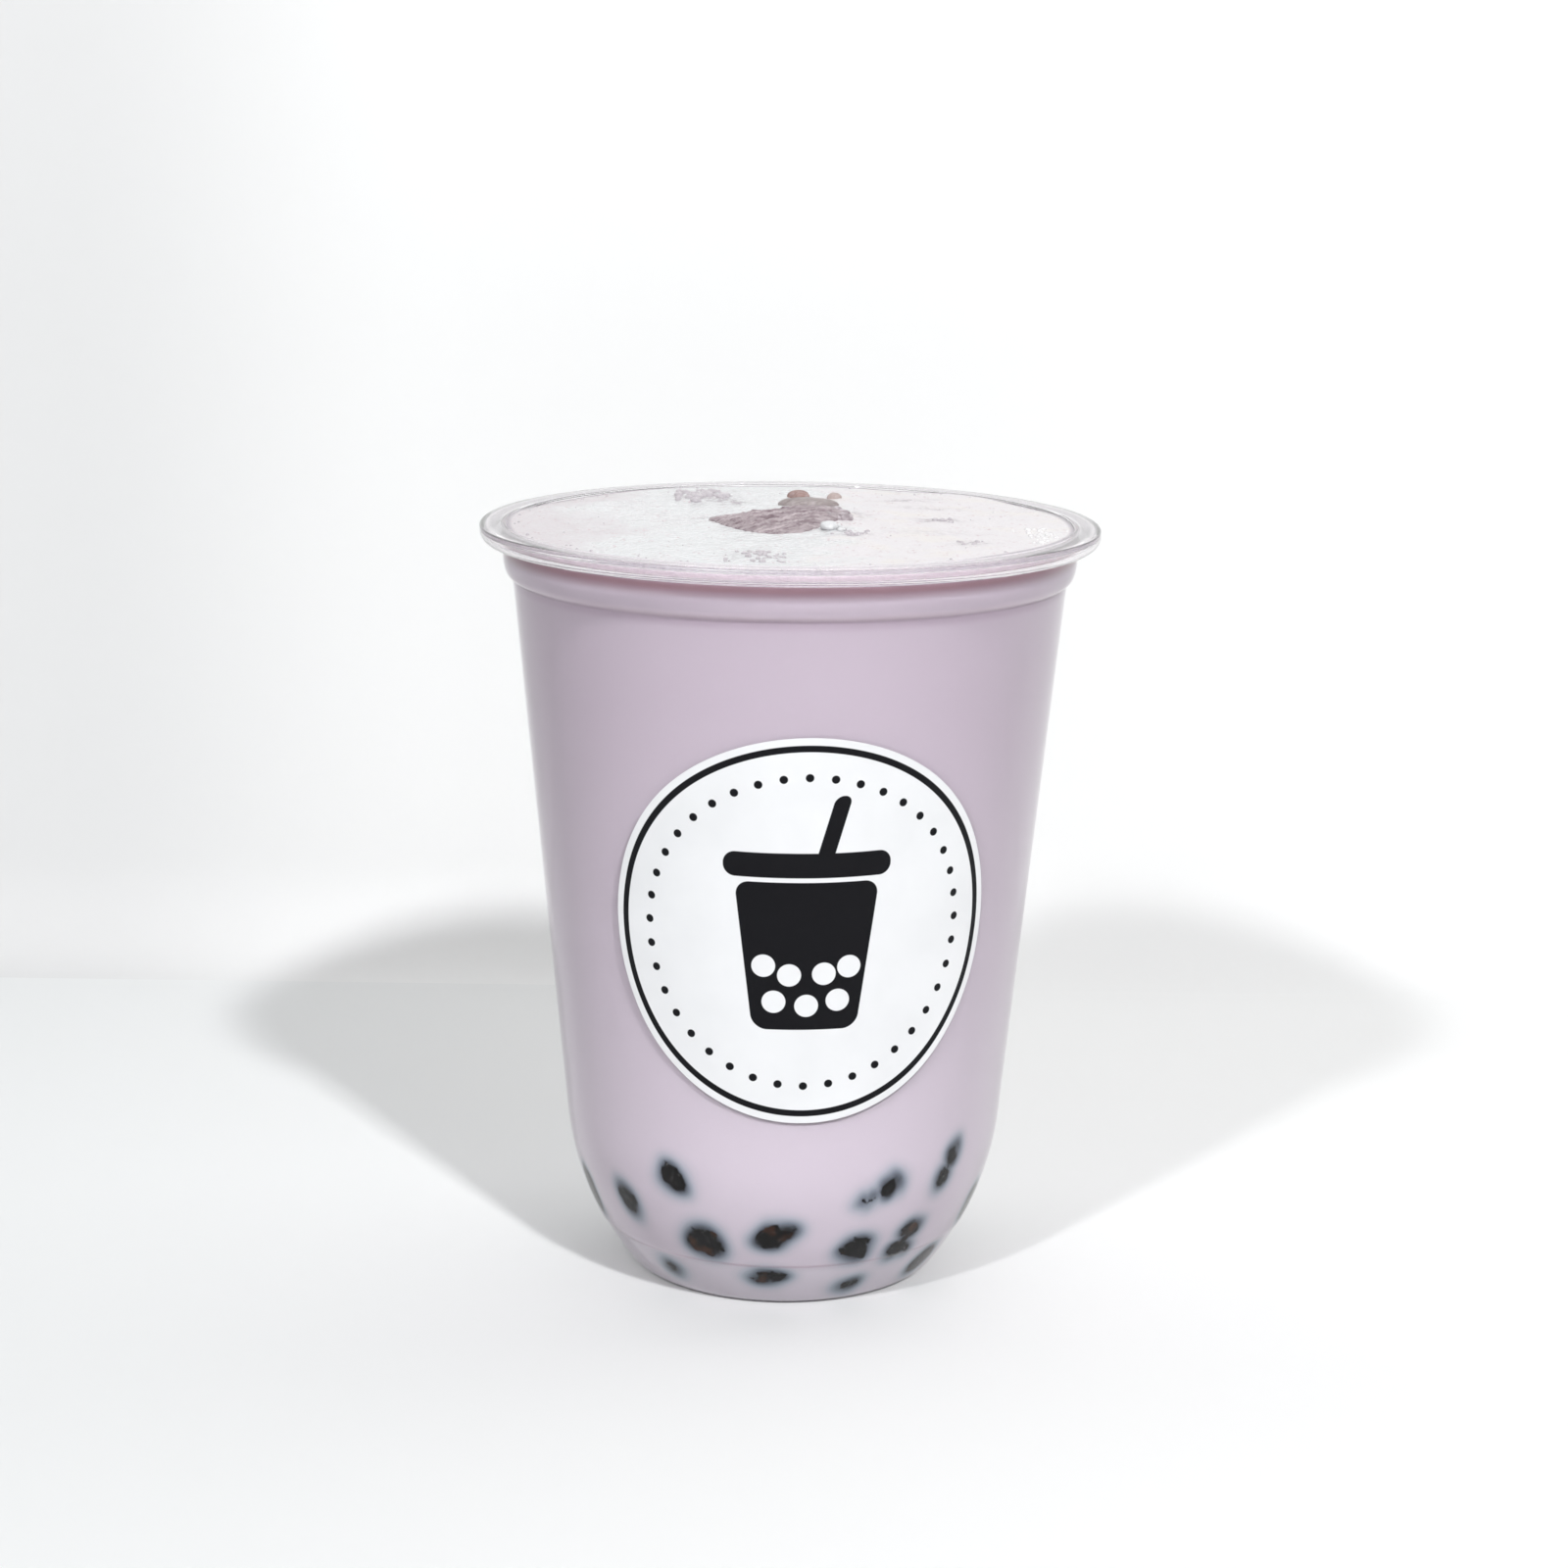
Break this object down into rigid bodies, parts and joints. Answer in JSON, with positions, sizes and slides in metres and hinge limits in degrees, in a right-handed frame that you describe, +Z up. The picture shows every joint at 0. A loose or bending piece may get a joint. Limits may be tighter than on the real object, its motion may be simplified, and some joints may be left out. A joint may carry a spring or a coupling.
{
  "type": "cup of taro bubble tea",
  "caption": "Clear plastic cup with a rounded bottom, filled to the brim with pale mauve milk tea, foam and lumps of taro, with dark pearls at the bottom and a round paper sticker.",
  "frame": {"origin": "centre of the foot ring, on the surface the cup stands on", "axes": "+Z up along the cup's axis, -Y towards the front, where the label is"},
  "size_m": [0.095, 0.095, 0.1199],
  "materials": {
    "clear_plastic": "clear, smooth, thin moulded polypropylene",
    "milk_tea": "opaque pale mauve milk tea",
    "milk_foam": "off-white foam with fine bubbles",
    "taro": "moist mauve-brown mashed root",
    "taro_skin": "moist reddish-brown root",
    "label_paper": "matt white coated paper with black print"
  },
  "bodies": {
    "root": {"cup": "clear_plastic", "tea": "milk_tea", "foam": "milk_foam", "taro_chunk": "taro", "taro_hump": "taro", "taro_bit_left": "taro_skin", "taro_bit_right": "taro_skin", "label": "label_paper"}
  },
  "joints": []
}
